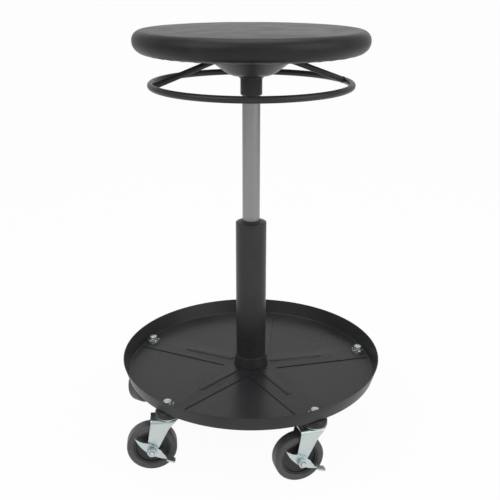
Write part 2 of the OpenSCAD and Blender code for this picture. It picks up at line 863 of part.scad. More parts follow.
module fork_side() {
    middle = [caster_trail, axle_z];
    end_r = leg_end_d / 2;
    top_z = crown_z - fork_round;
    front = [-leg_front, top_z];
    back = [crown_back, top_z];
    translate([-crown_front_d / 2, top_z]) square([crown_front_d / 2 + crown_back, fork_round]);
    polygon([front, touch(front, middle, end_r, 1), middle, touch(back, middle, end_r, -1), back]);
    translate(middle) circle(r = end_r, $fn = round_fn);
}

module fork() {
    long = 4 * fork_w;
    inner_round = fork_round - fork_sheet;
    color("lightsteelblue")
    difference() {
        union() {
            intersection() {
                translate([-long / 2, 0, 0])
                    rotate([90, 0, 90])
                        linear_extrude(height = long)
                            difference() {
                                channel_end(fork_w, crown_z, fork_round);
                                channel_end(leg_gap, crown_under_z, inner_round);
                            }
                rotate([90, 0, 0]) linear_extrude(height = long, center = true) fork_side();
                linear_extrude(height = crown_z + over) {
                    translate([crown_shift, 0]) circle(d = crown_front_d);
                    translate([0, -fork_w / 2]) square([long, fork_w]);
                }
            }
            translate([0, 0, crown_under_z]) cylinder(d = dome_d, h = dome_z - crown_under_z);
        }
        translate([0, 0, crown_under_z - over])
            cylinder(d = dome_d - 2 * fork_sheet, h = dome_z - fork_sheet - crown_under_z + over);
        translate([0, 0, crown_under_z]) cylinder(d = stem_d + 2 * loose, h = dome_z);
        on_axle() translate([0, 0, -fork_w]) cylinder(d = axle_d + 2 * loose, h = 2 * fork_w);
    }
}

// Axle bolt with its head, the sleeve between the fork's legs, and the nut
module axle_set() {
    bolt_len = fork_w / 2 + axle_nut_y + axle_nut_t + axle_proud;
    color("silver")
        on_axle() {
            translate([0, 0, -fork_w / 2]) cylinder(d = axle_d, h = bolt_len);
            translate([0, 0, -fork_w / 2 - axle_head_t]) hex_nut(axle_af, axle_head_t, 0);
            pipe(sleeve_d, axle_d + 2 * seat_in, -leg_gap / 2, leg_gap / 2);
            translate([0, 0, axle_nut_y]) hex_nut(axle_af, axle_nut_t, axle_d + 2 * seat_in);
        }
}

module wheel_hub() {
    color([0.07, 0.07, 0.08])
        on_axle()
            turned(rounded(both_sides([
                [sleeve_d / 2 + loose, hub_w / 2, 0],
                [barrel_d / 2, hub_w / 2, hub_round / 2],
                [barrel_d / 2, web_t / 2, hub_round],
                [rim_d / 2 - rim_t, web_t / 2, hub_round],
                [rim_d / 2 - rim_t, rim_w / 2, hub_round / 2],
                [rim_d / 2, rim_w / 2, 0]
            ])));
}

module tyre() {
    color([0.27, 0.26, 0.26])
        on_axle()
            turned(rounded(both_sides([
                [rim_d / 2 + seat_in, wheel_w / 2 - bead, 0],
                [rim_d / 2 + 2 * bead, wheel_w / 2, bead],
                [wheel_d / 2, wheel_w / 2, tread_round]
            ])));
}

// Brake lever: a crescent plate that turns on the axle bolt, with a pedal bent out at its low tip
module lever_shape() {
    edge_r = (lever_len * lever_len / 4 + lever_sag * lever_sag) / (2 * lever_sag);
    intersection() {
        translate([lever_shift, edge_r - lever_sag + lever_rise]) circle(r = edge_r, $fn = edge_fn);
        translate([-lever_len, lever_rise - lever_len]) square([2 * lever_len, lever_len + lever_edge]);
    }
    polygon([
        [-lever_neck_w / 2, lever_rise], [lever_neck_w / 2, lever_rise],
        [lever_neck_top_w / 2, lever_neck_h], [-lever_neck_top_w / 2, lever_neck_h]
    ]);
    polygon([
        [lever_shift - lever_len / 2, lever_rise], [-pedal_from, lever_rise - lever_edge],
        [-pedal_from, pedal_rise], pedal_tip
    ]);
    circle(d = lever_boss_d, $fn = round_fn);
}

module brake_lever() {
    color("lightsteelblue")
        translate([caster_trail, 0, axle_z])
            rotate([0, -lever_tilt, 0])
                difference() {
                    union() {
                        translate([0, lever_y + lever_sheet, 0])
                            rotate([90, 0, 0]) linear_extrude(height = lever_sheet) lever_shape();
                        translate([pedal_tip.x, lever_y, pedal_tip.y])
                            rotate([0, pedal_turn, 0])
                                translate([0, 0, -lever_sheet])
                                    cube([pedal_len, lever_sheet + pedal_w, lever_sheet]);
                    }
                    rotate([-90, 0, 0]) cylinder(d = axle_d + 2 * loose, h = fork_w);
                }
}

tray();
star_plate();
column_tube();
foot_collar();
foot_plate();
guide_bush();
thrust_race_low();
thrust_balls();
caster_stems();
stem_washers();
stem_nuts();
race_cups();
swivel_balls();
piston_rod();
piston_head();
thrust_race_high();
bump_stop();
retaining_clip();
pressure_tube();
tube_end_bush();
valve_body();
taper_socket();
hub_bowl();
flange_screws();
seat_board();
seat_foam();
seat_cover();
ring_hoop();
cross_rod();
release_pin();
for (k = [1 : casters]) {
    on_caster(k) fork();
    on_caster(k) axle_set();
    on_caster(k) wheel_hub();
    on_caster(k) tyre();
    on_caster(k) brake_lever();
}
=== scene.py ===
import json
from math import acos, atan2, cos, dist, hypot, pi, radians, sin, sqrt, tan

import bmesh
import bpy
from mathutils import Matrix, Vector, noise
from mathutils.geometry import delaunay_2d_cdt


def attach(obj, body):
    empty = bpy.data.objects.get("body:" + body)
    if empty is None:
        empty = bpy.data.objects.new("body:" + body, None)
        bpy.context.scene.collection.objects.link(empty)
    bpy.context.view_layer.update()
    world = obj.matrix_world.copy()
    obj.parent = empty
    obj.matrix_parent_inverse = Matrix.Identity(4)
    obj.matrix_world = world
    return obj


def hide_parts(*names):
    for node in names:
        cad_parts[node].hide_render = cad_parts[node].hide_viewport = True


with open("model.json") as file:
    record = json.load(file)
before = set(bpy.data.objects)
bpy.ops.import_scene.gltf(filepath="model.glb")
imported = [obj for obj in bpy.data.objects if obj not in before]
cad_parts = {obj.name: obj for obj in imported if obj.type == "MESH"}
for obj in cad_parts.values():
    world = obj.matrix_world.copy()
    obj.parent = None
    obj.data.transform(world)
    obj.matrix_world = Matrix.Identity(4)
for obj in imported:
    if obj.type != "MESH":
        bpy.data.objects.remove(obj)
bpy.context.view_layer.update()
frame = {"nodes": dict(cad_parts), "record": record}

scene = bpy.context.scene
MM = 0.001

# Sizes in millimetres, as in the part's source
STEM_R, STEM_AZ = 195.05, 12.2
YAWS = (142, 176, 239, 186, 197)
TRAIL, AXLE_Z, WHEEL_R, WHEEL_W = 26.5, 39.5, 39.5, 24.0
TRAY_Z, TRAY_SHEET, TRAY_R, TRAY_BASE_R, RIM_Z = 104.0, 1.4, 217.7, 209.8, 130.5
FLOOR_Z = TRAY_Z + TRAY_SHEET
STAR_T, STAR_R, STAR_HALF, STAR_TAPER = 1.2, 205.45, 28.5, 0.01947
STAR_Z = FLOOR_Z + STAR_T
CROWN_Z, FORK_SHEET, FORK_W, FORK_BEND = 90.0, 2.5, 32.0, 5.5
DOME_Z, CUP_FOOT_Z, WASHER_T, NUT_H, STEM_TOP = 96.4, 92.6, 1.2, 5.4, 117.5
COLUMN_TOP, COLUMN_R, COLUMN_IN, BUSH_TOP, BUSH_L, COLLAR_H = 359.3, 25, 23, 366.5, 48, 19
TUBE_Z, TUBE_R, TUBE_IN, TUBE_TOP_R, TAPER_L = 325.0, 14.0, 11.5, 13.3, 45
SOCKET_Z, SOCKET_H, BOARD_Z, BOARD_R, BOARD_T, SEAT_T = 567.0, 39, 632.0, 158, 10, 33.0
RING_R, ROD_R, RING_Z, CROSS_Z, CROSS_AZ, CROSS_SLOPE = 152.9, 5.1, 583.5, 621.7, 15.0, 0.371
AXLE_R, AXLE_HOLE_R, LEVER_SHEET, LEVER_PLAY = 4.0, 4.1, 2.5, 0.3


# ---------------------------------------------------------------- camera and stage

def make_camera():
    # Found from the photograph: its width, focal length and optical centre in pixels, then place and turn
    pixels, focal, centre_x, centre_y = 500, 769.1297, 250.5718, 250.0
    place, pitch, roll = (0, -1.1889298, 0.7483311), 0.3511, 0.0016
    sensor = 36.0
    data = bpy.data.cameras.new("camera")
    data.sensor_width = sensor
    data.lens = focal / pixels * sensor
    data.shift_x = -(centre_x + 0.5 - pixels / 2) / pixels
    data.shift_y = (centre_y + 0.5 - pixels / 2) / pixels
    data.clip_start, data.clip_end = 0.05, 50
    cam = bpy.data.objects.new("camera", data)
    cam.matrix_world = (Matrix.Translation(place)
                        @ Matrix.Rotation(pi / 2 - pitch, 4, "X") @ Matrix.Rotation(roll, 4, "Z"))
    scene.collection.objects.link(cam)
    scene.camera = cam


make_camera()
scene.view_settings.view_transform = "Standard"


# ---------------------------------------------------------------- materials

def new_material(name):
    mat = bpy.data.materials.new(name)
    mat.use_nodes = True
    tree = mat.node_tree
    return mat, tree, tree.nodes["Principled BSDF"]


def add(tree, kind, **values):
    """A new node, with values for its inputs or its own settings."""
    node = tree.nodes.new(kind)
    for key, value in values.items():
        if key in node.inputs:
            node.inputs[key].default_value = value
        else:
            setattr(node, key, value)
    return node


def coords(tree, scale=(1, 1, 1)):
    """Object coordinates in metres, stretched by scale."""
    tex = add(tree, "ShaderNodeTexCoord")
    mapping = add(tree, "ShaderNodeMapping")
    mapping.inputs["Scale"].default_value = scale
    tree.links.new(tex.outputs["Object"], mapping.inputs["Vector"])
    return mapping.outputs["Vector"]


def noise_of(tree, vector, scale, detail, rough=0.5):
    node = add(tree, "ShaderNodeTexNoise", Scale=scale, Detail=detail, Roughness=rough)
    tree.links.new(vector, node.inputs["Vector"])
    return node.outputs["Fac"]


def ramp(tree, fac, stops):
    """A colour ramp: stops are (position, colour or grey)."""
    node = add(tree, "ShaderNodeValToRGB")
    cr = node.color_ramp
    while len(cr.elements) < len(stops):
        cr.elements.new(0.5)
    for element, (at, colour) in zip(cr.elements, stops):
        element.position = at
        if not isinstance(colour, tuple):
            colour = (colour,) * 3
        element.color = (*colour, 1)
    tree.links.new(fac, node.inputs["Fac"])
    return node.outputs["Color"]


def remap(tree, fac, low, high, from_low=0.3, from_high=0.7):
    """Maps from_low to low and from_high to high, clamped at both ends."""
    node = add(tree, "ShaderNodeMapRange")
    node.inputs["From Min"].default_value = from_low
    node.inputs["From Max"].default_value = from_high
    node.inputs["To Min"].default_value = low
    node.inputs["To Max"].default_value = high
    tree.links.new(fac, node.inputs["Value"])
    return node.outputs["Result"]


def maths(tree, op, a, b):
    node = add(tree, "ShaderNodeMath", operation=op)
    for socket, value in zip(node.inputs, (a, b)):
        if isinstance(value, (int, float)):
            socket.default_value = value
        else:
            tree.links.new(value, socket)
    return node.outputs["Value"]


def bump(tree, bsdf, height, strength, distance):
    node = add(tree, "ShaderNodeBump", Strength=strength, Distance=distance)
    tree.links.new(height, node.inputs["Height"])
    tree.links.new(node.outputs["Normal"], bsdf.inputs["Normal"])


def enamel(name, colour, rough, peel, gloss):
    """Black enamel on steel: faint orange peel and a little dust and handling in the gloss."""
    mat, tree, bsdf = new_material(name)
    at = coords(tree)
    dust = noise_of(tree, at, 9, 6, 0.6)
    fine = noise_of(tree, at, 420, 2)
    light = tuple(min(1, c * 1.5 + 0.004) for c in colour)
    tree.links.new(ramp(tree, dust, [(0.35, colour), (0.75, light)]), bsdf.inputs["Base Color"])
    tree.links.new(remap(tree, dust, rough * 0.85, rough * 1.25), bsdf.inputs["Roughness"])
    bsdf.inputs["Specular IOR Level"].default_value = gloss
    bump(tree, bsdf, fine, peel, 0.0003)
    return mat


def zinc():
    """Bright zinc plate: a blue-white metal with soft cloudy changes in tint and gloss."""
    mat, tree, bsdf = new_material("zinc_plate")
    at = coords(tree)
    cloud = noise_of(tree, at, 45, 5, 0.6)
    grain = noise_of(tree, at, 900, 3, 0.7)
    tints = [(0.3, (0.51, 0.58, 0.59)), (0.52, (0.60, 0.67, 0.67)), (0.72, (0.63, 0.67, 0.61))]
    tree.links.new(ramp(tree, cloud, tints), bsdf.inputs["Base Color"])
    tree.links.new(remap(tree, cloud, 0.3, 0.42), bsdf.inputs["Roughness"])
    bsdf.inputs["Metallic"].default_value = 1.0
    bump(tree, bsdf, grain, 0.12, 0.0001)
    return mat


def steel(name, colour, rough, stretch):
    """Machined or drawn steel: fine marks along the direction that stretch makes long."""
    mat, tree, bsdf = new_material(name)
    marks = noise_of(tree, coords(tree, stretch), 160, 6, 0.65)
    cloud = noise_of(tree, coords(tree), 20, 3)
    dark = tuple(c * 0.88 for c in colour)
    tree.links.new(ramp(tree, marks, [(0.35, dark), (0.65, colour)]), bsdf.inputs["Base Color"])
    wear = maths(tree, "ADD", maths(tree, "MULTIPLY", marks, 0.6), maths(tree, "MULTIPLY", cloud, 0.4))
    tree.links.new(remap(tree, wear, rough * 0.85, rough * 1.2), bsdf.inputs["Roughness"])
    bsdf.inputs["Metallic"].default_value = 1.0
    bump(tree, bsdf, marks, 0.1, 0.0001)
    return mat


def vinyl():
    """Smooth black upholstery vinyl: a fine pebbled grain and a soft sheen."""
    mat, tree, bsdf = new_material("black_vinyl")
    at = coords(tree)
    cells = add(tree, "ShaderNodeTexVoronoi", Scale=820.0)
    cells.feature = "SMOOTH_F1"
    tree.links.new(at, cells.inputs["Vector"])
    folds = noise_of(tree, at, 26, 4, 0.5)
    fine = noise_of(tree, at, 1500, 2)
    height = maths(tree, "ADD", cells.outputs["Distance"], maths(tree, "MULTIPLY", fine, 0.4))
    tints = [(0.35, (0.013, 0.013, 0.015)), (0.7, (0.020, 0.020, 0.022))]
    tree.links.new(ramp(tree, folds, tints), bsdf.inputs["Base Color"])
    tree.links.new(remap(tree, folds, 0.34, 0.44), bsdf.inputs["Roughness"])
    bsdf.inputs["Specular IOR Level"].default_value = 0.26
    bsdf.inputs["Sheen Weight"].default_value = 0.01
    bsdf.inputs["Sheen Roughness"].default_value = 0.5
    bump(tree, bsdf, height, 0.25, 0.0002)
    return mat


def rubber(name, colour, rough, scale=300):
    """Rubber or moulded plastic: a matte skin with faint mottling and fine texture."""
    mat, tree, bsdf = new_material(name)
    at = coords(tree)
    cloud = noise_of(tree, at, 35, 5, 0.6)
    fine = noise_of(tree, at, scale * 4, 3, 0.6)
    light = tuple(c * 1.45 for c in colour)
    tree.links.new(ramp(tree, cloud, [(0.35, colour), (0.7, light)]), bsdf.inputs["Base Color"])
    tree.links.new(remap(tree, cloud, rough * 0.88, min(1, rough * 1.15)), bsdf.inputs["Roughness"])
    bump(tree, bsdf, fine, 0.18, 0.0002)
    return mat


def plywood():
    """Plywood: long grain on the faces and thin plies on the edge."""
    mat, tree, bsdf = new_material("plywood")
    grain = noise_of(tree, coords(tree, (4, 60, 60)), 8, 8, 0.6)
    plies = add(tree, "ShaderNodeTexWave", Scale=62.0, Distortion=0.4)
    plies.bands_direction = "Z"
    tree.links.new(coords(tree), plies.inputs["Vector"])
    mix = add(tree, "ShaderNodeMix", data_type="RGBA", blend_type="MULTIPLY")
    mix.inputs[0].default_value = 0.5
    tree.links.new(ramp(tree, grain, [(0.3, (0.34, 0.22, 0.12)), (0.7, (0.55, 0.4, 0.25))]), mix.inputs[6])
    tree.links.new(ramp(tree, plies.outputs["Fac"], [(0.3, 0.55), (0.7, 1.0)]), mix.inputs[7])
    tree.links.new(mix.outputs[2], bsdf.inputs["Base Color"])
    bsdf.inputs["Roughness"].default_value = 0.7
    bump(tree, bsdf, grain, 0.2, 0.0003)
    return mat


MATS = {
    "black_paint": enamel("black_enamel", (0.0225, 0.0225, 0.0245), 0.3, 0.12, 0.24),
    "column_paint": enamel("column_enamel", (0.026, 0.026, 0.028), 0.3, 0.12, 0.32),
    "ring_paint": enamel("ring_enamel", (0.019, 0.019, 0.021), 0.33, 0.2, 0.35),
    "black_plastic": rubber("black_nylon", (0.02, 0.02, 0.021), 0.42),
    "rubber": rubber("bump_rubber", (0.016, 0.016, 0.016), 0.7),
    "satin_tube": steel("satin_tube", (0.315, 0.315, 0.315), 0.36, (6, 6, 0.6)),
    "bright_steel": steel("bright_steel", (0.58, 0.58, 0.59), 0.26, (1, 1, 8)),
    "zinc_plate": zinc(),
    "plywood": plywood(),
    "foam": rubber("foam", (0.6, 0.55, 0.42), 0.95, 120),
    "black_vinyl": vinyl(),
    "wheel_plastic": rubber("wheel_plastic", (0.021, 0.021, 0.022), 0.45),
    "grey_tyre": rubber("grey_tyre", (0.056, 0.056, 0.055), 0.42, 160),
}
SLOT_OF = {s["node"]: s["material_slot"] for s in frame["record"]["subparts"]}
for node_name, node_obj in frame["nodes"].items():
    for material_slot in node_obj.material_slots:
        material_slot.material = MATS[SLOT_OF[node_name]]


# ---------------------------------------------------------------- mesh helpers, in millimetres

def rounded(path, steps):
    """A path of (x, y, radius), with each inner corner that has a radius turned into an arc."""
    out = []
    for i, (x, y, r) in enumerate(path):
        at = Vector((x, y))
        if r <= 0 or i in (0, len(path) - 1):
            out.append((x, y))
            continue
        u = (Vector(path[i - 1][:2]) - at).normalized()
        v = (Vector(path[i + 1][:2]) - at).normalized()
        half = acos(max(-1, min(1, u.dot(v)))) / 2
        middle = at + (u + v).normalized() * r / sin(half)
        reach = r / tan(half)
        a, b = at + u * reach - middle, at + v * reach - middle
        start, sweep = atan2(a.y, a.x), atan2(a.x * b.y - a.y * b.x, a.dot(b))
        out += [(middle.x + r * cos(start + sweep * t / steps), middle.y + r * sin(start + sweep * t / steps))
                for t in range(steps + 1)]
    return out


def lathe(bm, outline, steps, place=None, closed=True, wave=None):
    """Turns an outline of (radius, height) about Z. wave(r, z, angle) may move a point."""
    place = place or Matrix()
    rings = []
    for r, z in outline:
        if r < 1e-6:
            rings.append([bm.verts.new(place @ Vector((0, 0, z)))])
            continue
        ring = []
        for i in range(steps):
            a = 2 * pi * i / steps
            rr, zz = wave(r, z, a) if wave else (r, z)
            ring.append(bm.verts.new(place @ Vector((rr * cos(a), rr * sin(a), zz))))
        rings.append(ring)
    for a, b in zip(rings, rings[1:] + (rings[:1] if closed else [])):
        for i in range(steps):
            j = (i + 1) % steps
            if len(a) == 1 and len(b) == 1:
                break
            if len(a) == 1:
                bm.faces.new((a[0], b[j], b[i]))
            elif len(b) == 1:
                bm.faces.new((a[i], a[j], b[0]))
            else:
                bm.faces.new((a[i], a[j], b[j], b[i]))


def tube_along(bm, points, radius, sides, closed=False):
    """A round rod along points."""
    points = [Vector(p) for p in points]
    n = len(points)
    rings = []
    up = None
    for i, p in enumerate(points):
        if closed:
            t = (points[(i + 1) % n] - points[i - 1]).normalized()
        else:
            t = (points[min(i + 1, n - 1)] - points[max(i - 1, 0)]).normalized()
        if up is None:
            up = t.orthogonal().normalized()
        up = (up - t * up.dot(t)).normalized()
        side = t.cross(up)
        turns = (2 * pi * k / sides for k in range(sides))
        rings.append([bm.verts.new(p + radius * (cos(a) * up + sin(a) * side)) for a in turns])
    for a, b in zip(rings, rings[1:]):
        for k in range(sides):
            j = (k + 1) % sides
            bm.faces.new((a[k], a[j], b[j], b[k]))
    if closed:
        a, b = rings[-1], rings[0]

        def twist(s):
            return sum((a[k].co - b[(k + s) % sides].co).length for k in range(sides))

        shift = min(range(sides), key=twist)
        for k in range(sides):
            bm.faces.new((a[k], a[(k + 1) % sides], b[(k + 1 + shift) % sides], b[(k + shift) % sides]))
    else:
        bm.faces.new(rings[0][::-1])
        bm.faces.new(rings[-1])


def spin(angle):
    """A turn about Z."""
    return Matrix.Rotation(angle, 4, "Z")


def hex_radius(angle, half_flat):
    """How far a hexagon's side is from its middle at an angle."""
    return half_flat / cos((angle % (pi / 3)) - pi / 6)


def circle(x, y, r, n):
    return [(x + r * cos(2 * pi * i / n), y + r * sin(2 * pi * i / n)) for i in range(n)]


def ring_of(bm, row, place):
    """A ring of vertices from its (radius, height) points."""
    n = len(row)
    return [bm.verts.new(place @ Vector((r * cos(2 * pi * i / n), r * sin(2 * pi * i / n), z)))
            for i, (r, z) in enumerate(row)]


def nut(bm, af, height, bore, place):
    """A hexagon nut or bolt head from z = 0, chamfered to a circle at both ends. bore 0 closes it."""
    steps, half, bore_bevel = 72, af / 2, 0.5
    base, drop = 0.96 * half, 0.5774
    rows = []
    inner = bore / 2
    if inner:
        rows.append([(inner + bore_bevel, height)] * steps)
    rows.append([(base, height)] * steps)
    radii = [hex_radius(2 * pi * i / steps, half) for i in range(steps)]
    rows.append([(r, height - (r - base) * drop) for r in radii])
    rows.append([(r, (r - base) * drop) for r in radii])
    rows.append([(base, 0)] * steps)
    if inner:
        rows.append([(inner + bore_bevel, 0)] * steps)
        rows.append([(inner, bore_bevel)] * steps)
        rows.append([(inner, height - bore_bevel)] * steps)
    rings = [ring_of(bm, row, place) for row in rows]
    for a, b in zip(rings, rings[1:] + (rings[:1] if inner else [])):
        for i in range(steps):
            j = (i + 1) % steps
            bm.faces.new((a[i], a[j], b[j], b[i]))
    if not inner:
        bm.faces.new(rings[0][::-1])
        bm.faces.new(rings[-1])


def weld_bead(bm, radius, z, size, ripples, place=None, steps=192):
    """A rippled ring of weld metal in a corner at a radius and height."""
    sides = 10

    def wave(r, zz, a):
        k = 1 + 0.16 * sin(ripples * a) + 0.08 * noise.noise(Vector((cos(a) * 3, sin(a) * 3, z)))
        return radius + (r - radius) * k, z + (zz - z) * k

    turns = [2 * pi * t / sides for t in range(sides)]
    outline = [(radius + size * cos(a), z + size * sin(a)) for a in turns]
    lathe(bm, outline, steps, place, wave=wave)


def inside(p, loops):
    """Whether a point is inside an odd number of closed loops."""
    odd = False
    for loop in loops:
        for (x1, y1), (x2, y2) in zip(loop, loop[1:] + loop[:1]):
            if (y1 > p[1]) != (y2 > p[1]) and p[0] < x1 + (p[1] - y1) * (x2 - x1) / (y2 - y1):
                odd = not odd
    return odd


def triangulated(loops, lines):
    """Triangles that fill closed loops, holes left out, with extra lines as edges: (points, triangles)."""
    points, edges = [], []
    for loop in loops:
        n = len(points)
        points += [Vector(p) for p in loop]
        edges += [(n + i, n + (i + 1) % len(loop)) for i in range(len(loop))]
    for a, b in lines:
        n = len(points)
        points += [Vector(a), Vector(b)]
        edges.append((n, n + 1))
    all_triangles, tiny = 0, 1e-5
    verts, _, faces, _, _, _ = delaunay_2d_cdt(points, edges, [], all_triangles, tiny)
    keep = []
    for f in faces:
        c = sum((verts[i] for i in f), Vector((0, 0))) / len(f)
        if inside(c, loops):
            keep.append(tuple(f))
    return [tuple(v) for v in verts], keep


def folded_sheet(bm, loops, lines, fold, thickness):
    """A sheet cut to loops and folded: fold(u, v, depth) gives the place of a point of the flat blank."""
    points, tris = triangulated(loops, lines)
    used = sorted({i for t in tris for i in t})
    outer = {i: bm.verts.new(fold(*points[i], 0.0)) for i in used}
    inner = {i: bm.verts.new(fold(*points[i], thickness)) for i in used}
    count = {}
    for t in tris:
        bm.faces.new([outer[i] for i in t])
        bm.faces.new([inner[i] for i in reversed(t)])
        for a, b in zip(t, t[1:] + t[:1]):
            count[frozenset((a, b))] = count.get(frozenset((a, b)), 0) + 1
    for t in tris:
        for a, b in zip(t, t[1:] + t[:1]):
            if count[frozenset((a, b))] == 1:
                bm.faces.new((outer[b], outer[a], inner[a], inner[b]))


def to_mesh(name, bm, angle=35, flat_join=False):
    """A mesh in metres, smooth except at edges over angle. flat_join merges faces in one plane."""
    bmesh.ops.remove_doubles(bm, verts=bm.verts, dist=1e-3)
    if flat_join:
        bmesh.ops.dissolve_limit(bm, angle_limit=radians(0.2), verts=bm.verts, edges=bm.edges)
    bmesh.ops.recalc_face_normals(bm, faces=bm.faces)
    for v in bm.verts:
        v.co *= MM
    mesh = bpy.data.meshes.new(name)
    bm.to_mesh(mesh)
    bm.free()
    mesh.shade_smooth()
    mesh.set_sharp_from_angle(angle=radians(angle))
    return mesh


def piece(name, mesh, body, slot, nodes=(), bevel=0.0, place=None, paint=None):
    """A piece that rides a body, with the nodes it stands for. paint is a material other than the slot's."""
    obj = bpy.data.objects.new(name, mesh)
    scene.collection.objects.link(obj)
    if not mesh.materials:
        mesh.materials.append(MATS[paint or slot])
    if place:
        obj.matrix_world = place
    if bevel:
        mod = obj.modifiers.new("edges", "BEVEL")
        mod.width = bevel * MM
        mod.segments = 2
        mod.limit_method = "ANGLE"
        mod.angle_limit = radians(50)
        mod.harden_normals = True
    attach(obj, body)
    if nodes:
        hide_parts(*nodes)
    return obj


def stem_place(k, metres=True):
    """The matrix that puts a caster's own space on stem k, 1 to 5, with X along its trail."""
    a = radians(STEM_AZ + 72 * (k - 1))
    unit = MM if metres else 1
    return (Matrix.Translation((STEM_R * unit * cos(a), STEM_R * unit * sin(a), 0))
            @ Matrix.Rotation(radians(YAWS[k - 1]), 4, "Z"))


# Puts Z along the axle, in a caster's own space
AXLE = Matrix.Translation((TRAIL, 0, AXLE_Z)) @ Matrix.Rotation(-pi / 2, 4, "X")


# ---------------------------------------------------------------- seat

def pleat(a):
    """How far the gathers of the cover stand out at an angle, 0 to 1."""
    return max(0, sin(46 * a + 1.7 * sin(5 * a)))


def make_seat():
    # Cover and foam as one crowned form, drawn under the board and stapled there
    top, side_r = BOARD_Z + SEAT_T, 178
    crown_r, crown_rise, crown_steps = 118, 0.15, 14
    edge = rounded([(154, BOARD_Z - 1.0, 0), (side_r, BOARD_Z - 0.4, 17.5), (side_r + 0.2, top - 1.2, 14.5),
                    (crown_r, top - crown_rise, 0)], 20)
    shares = [1 - t / crown_steps for t in range(1, crown_steps + 1)]
    crown = [(crown_r * share, top - crown_rise + crown_rise * (1 - share ** 2)) for share in shares]
    inner = [(0, BOARD_Z + 9), (150, BOARD_Z + 9), (152, BOARD_Z + 0.4)]
    outline = inner + edge + crown

    def wave(r, z, a):
        """Slight unevenness of the foam, and gathers where the cover is drawn under."""
        n = noise.noise(Vector((r * cos(a) / 46, r * sin(a) / 46, z / 30)))
        swell = 0.25 * n if z > BOARD_Z + 6 else 0
        lift = 0.28 * n if z > BOARD_Z + 4 else 0
        tuck = 0.0
        if z < BOARD_Z + 8 and r > 153:
            share = max(0, (BOARD_Z + 8 - z) / 9)
            tuck = 0.45 * share * pleat(a) * min(1, (side_r - r) / 12 if r < side_r else 0)
        return r + swell, z + lift * (0.5 if r > 150 else 1) - tuck

    bm = bmesh.new()
    lathe(bm, outline, 180, closed=False, wave=wave)
    pad = piece("seat_pad", to_mesh("seat_pad", bm, 60), "seat", "black_vinyl", ("seat_cover", "seat_foam"))

    # The hem under the board: a thin gathered band with its staples
    hem_in, hem_out = 138, 160

    def gather(r, z, a):
        """A cut edge that wanders, and a lower face that rises and falls with the gathers."""
        cut_r = r + 1.2 * noise.noise(Vector((cos(a) * 9, sin(a) * 9, 2))) * (1 if r < 145 else 0)
        if z > BOARD_Z - 0.25:
            return cut_r, z
        return cut_r, z - 0.5 * pleat(a) * (r - hem_in) / (hem_out - hem_in)

    bm = bmesh.new()
    lathe(bm, [(hem_in, BOARD_Z - 0.05), (hem_out, BOARD_Z - 0.05), (hem_out, BOARD_Z - 1.3),
               (150, BOARD_Z - 1.35), (144, BOARD_Z - 1.25), (138.6, BOARD_Z - 1.0)], 360, wave=gather)
    piece("seat_hem", to_mesh("seat_hem", bm, 40), "seat", "black_vinyl")

    bm = bmesh.new()
    staples, staple_r = 36, 145.5
    wire = ((0, -5, 1.6), (0, -5, 0.5), (0, -4.4, 0), (0, 4.4, 0), (0, 5, 0.5), (0, 5, 1.6))
    for i in range(staples):
        a = 2 * pi * (i + 0.3 * sin(i * 2.3)) / staples
        at = spin(a) @ Matrix.Translation((staple_r, 0, BOARD_Z - 1.95)) @ spin(0.35 * sin(i * 5.1))
        tube_along(bm, [at @ Vector(p) for p in wire], 0.55, 8)
    piece("hem_staples", to_mesh("hem_staples", bm, 50), "seat", "bright_steel")

    # Board with eased edges
    bm = bmesh.new()
    lathe(bm, rounded([(0, BOARD_Z, 0), (BOARD_R, BOARD_Z, 1.0), (BOARD_R, BOARD_Z + BOARD_T, 1.0),
                       (0, BOARD_Z + BOARD_T, 0)], 4), 180, closed=False)
    piece("seat_board_wood", to_mesh("seat_board_wood", bm, 40), "seat", "plywood", ("seat_board",))


# ---------------------------------------------------------------- hub, socket and release ring

def cut(obj, cutter):
    """Cuts a closed mesh out of a piece's mesh, and removes the cutter."""
    mod = obj.modifiers.new("cut", "BOOLEAN")
    mod.operation = "DIFFERENCE"
    mod.solver = "EXACT"
    mod.object = cutter
    bpy.context.view_layer.update()
    graph = bpy.context.evaluated_depsgraph_get()
    mesh = bpy.data.meshes.new_from_object(obj.evaluated_get(graph))
    obj.modifiers.clear()
    old = obj.data
    obj.data = mesh
    bpy.data.meshes.remove(old)
    data = cutter.data
    bpy.data.objects.remove(cutter)
    bpy.data.meshes.remove(data)


